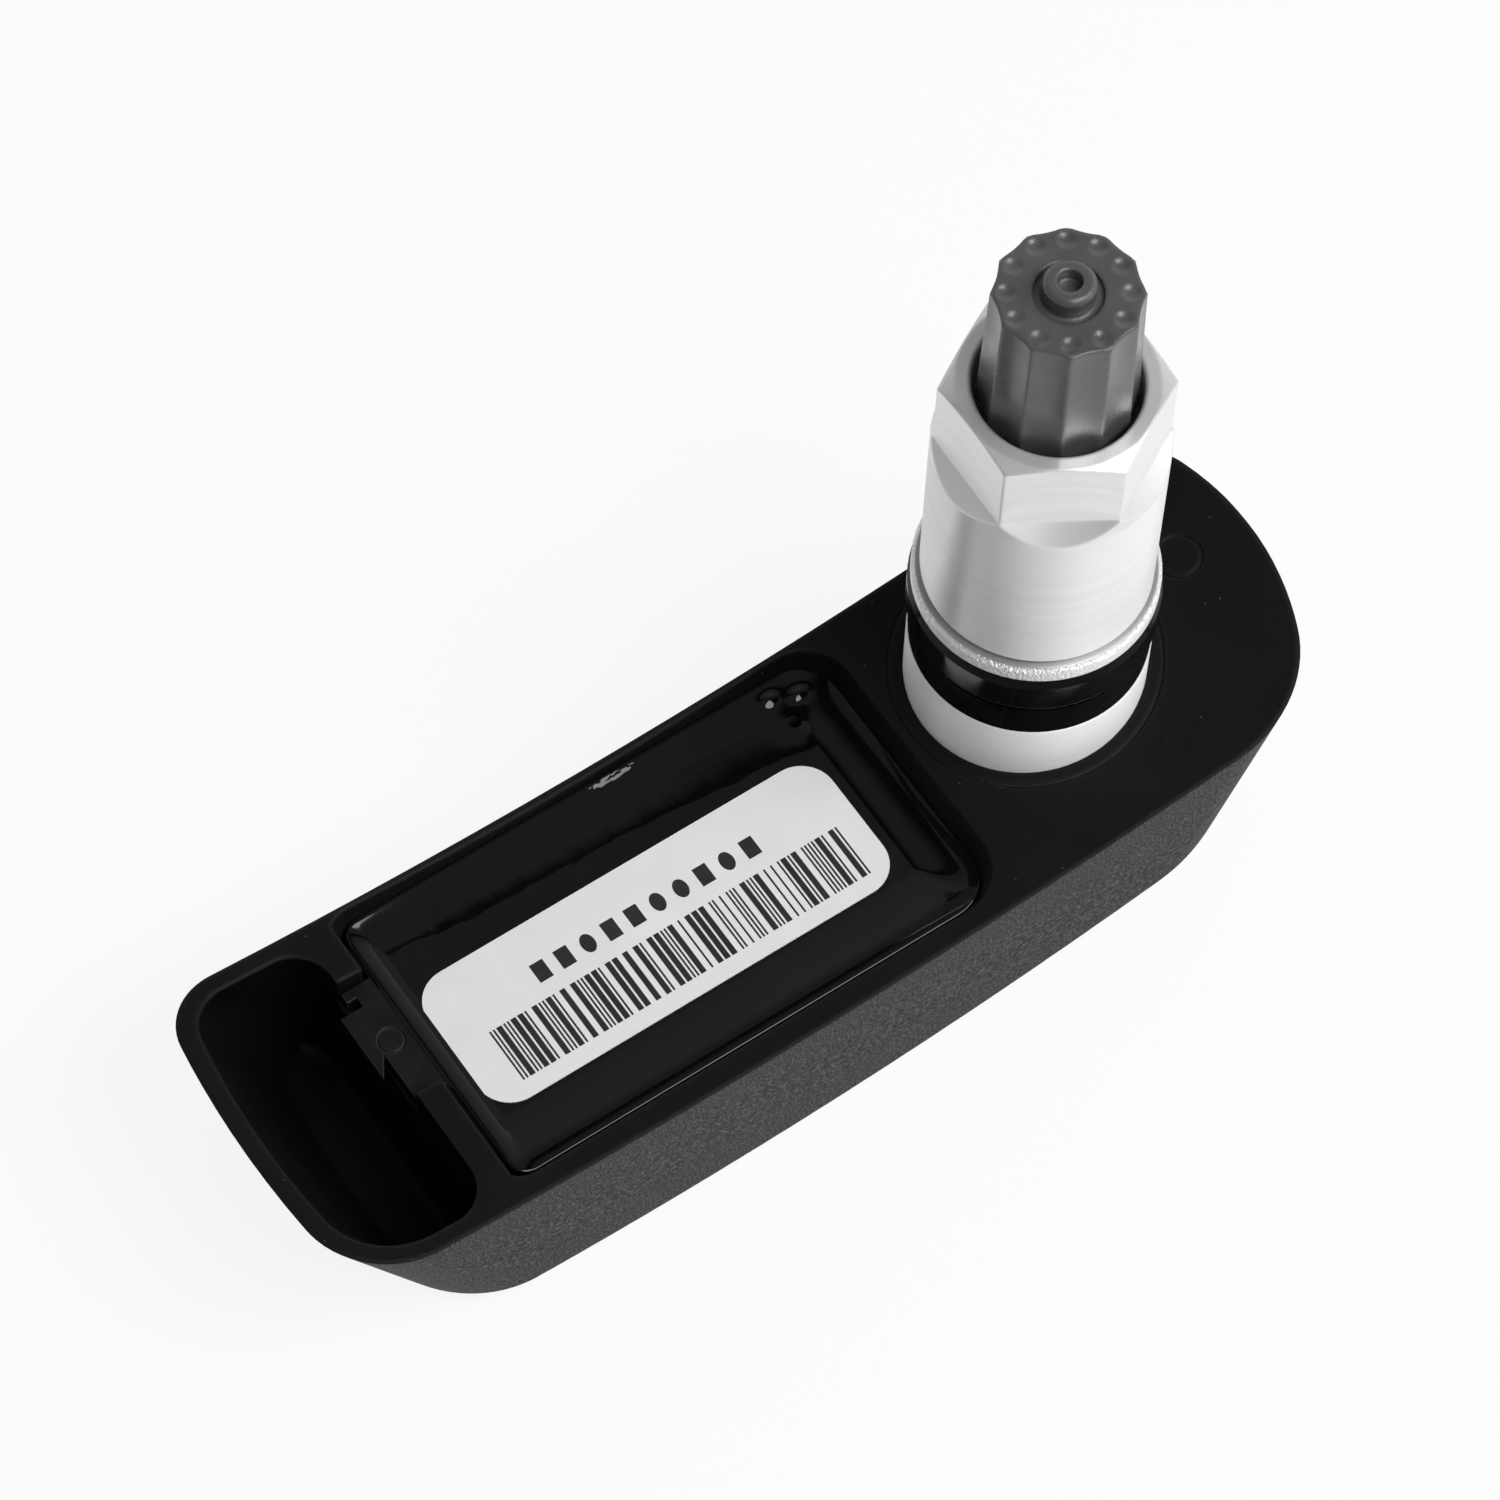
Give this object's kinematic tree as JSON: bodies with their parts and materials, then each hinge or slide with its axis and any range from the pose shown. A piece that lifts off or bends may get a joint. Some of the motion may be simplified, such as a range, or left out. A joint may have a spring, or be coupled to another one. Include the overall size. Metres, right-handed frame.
{
  "type": "tyre pressure sensor",
  "caption": "Clamp-in tyre pressure sensor: long curved plastic body with potted electronics and an open pocket, and a metal valve with seal, washer, sleeve nut and ribbed cap.",
  "frame": {"origin": "on the valve's axis, at the level where its foot leaves the carrier", "axes": "+Z along the valve towards its cap, +X along the carrier away from its open pocket"},
  "size_m": [0.0738, 0.0228, 0.0576],
  "materials": {
    "carrier_plastic": "fine moulded grain",
    "cup_plastic": "satin",
    "resin": "glossy, poured",
    "label_paper": "matt",
    "black_rubber": "matt",
    "board": "solder mask",
    "cell_steel": "brushed",
    "strap_steel": "plain",
    "chip_plastic": "matt",
    "ferrite": "matt",
    "copper": "enamelled wire",
    "ceramic": "matt",
    "aluminium": "satin",
    "screw_steel": "zinc plated",
    "seal_rubber": "semi-gloss",
    "cap_plastic": "semi-gloss",
    "brass": "plain",
    "white_plastic": "plain"
  },
  "bodies": {
    "sensor": {"carrier": "carrier_plastic", "electronics_cup": "cup_plastic", "resin": "resin", "label": "label_paper", "vent_tube": "black_rubber", "circuit_board": "board", "coin_cell": "cell_steel", "cell_strap_lower": "strap_steel", "cell_strap_upper": "strap_steel", "pressure_chip": "chip_plastic", "coil_core": "ferrite", "coil_winding": "copper", "crystal": "cell_steel", "chip_capacitors": "ceramic", "aerial": "copper", "valve_stem": "aluminium", "hollow_screw": "screw_steel", "stem_seal": "seal_rubber", "core_barrel": "brass", "core_seal": "white_plastic", "core_spring": "strap_steel"},
    "washer_ring": {"washer": "aluminium"},
    "sleeve_nut": {"nut": "aluminium"},
    "cap_disc": {"cap_seal": "black_rubber"},
    "valve_cap": {"cap": "cap_plastic"},
    "core_plunger": {"core_pin": "brass", "core_cup": "black_rubber"}
  },
  "joints": [
    {"name": "nut_rise", "type": "slide", "parent": "sensor", "child": "washer_ring", "axis": [0, 0, 1], "range_m": [0, 0.009]},
    {"name": "nut_turn", "type": "hinge", "parent": "washer_ring", "child": "sleeve_nut", "pos_m": [0, 0, 0.0119], "axis": [0, 0, 1], "range_deg": [0, 3240]},
    {"name": "cap_rise", "type": "slide", "parent": "sensor", "child": "cap_disc", "axis": [0, 0, 1], "range_m": [0, 0.00778]},
    {"name": "cap_turn", "type": "hinge", "parent": "cap_disc", "child": "valve_cap", "pos_m": [0, 0, 0.039], "axis": [0, 0, 1], "range_deg": [0, 3529]},
    {"name": "core_press", "type": "slide", "parent": "sensor", "child": "core_plunger", "axis": [0, 0, -1], "range_m": [0, 0.0014], "stiffness_N_per_m": 1200, "springref_m": -0.001, "deforming": ["core_spring"]}
  ],
  "couplings": [
    {"joint": "nut_turn", "follows": "nut_rise", "rad_per_m": 6283.2},
    {"joint": "cap_turn", "follows": "cap_rise", "rad_per_m": 7915.8}
  ]
}
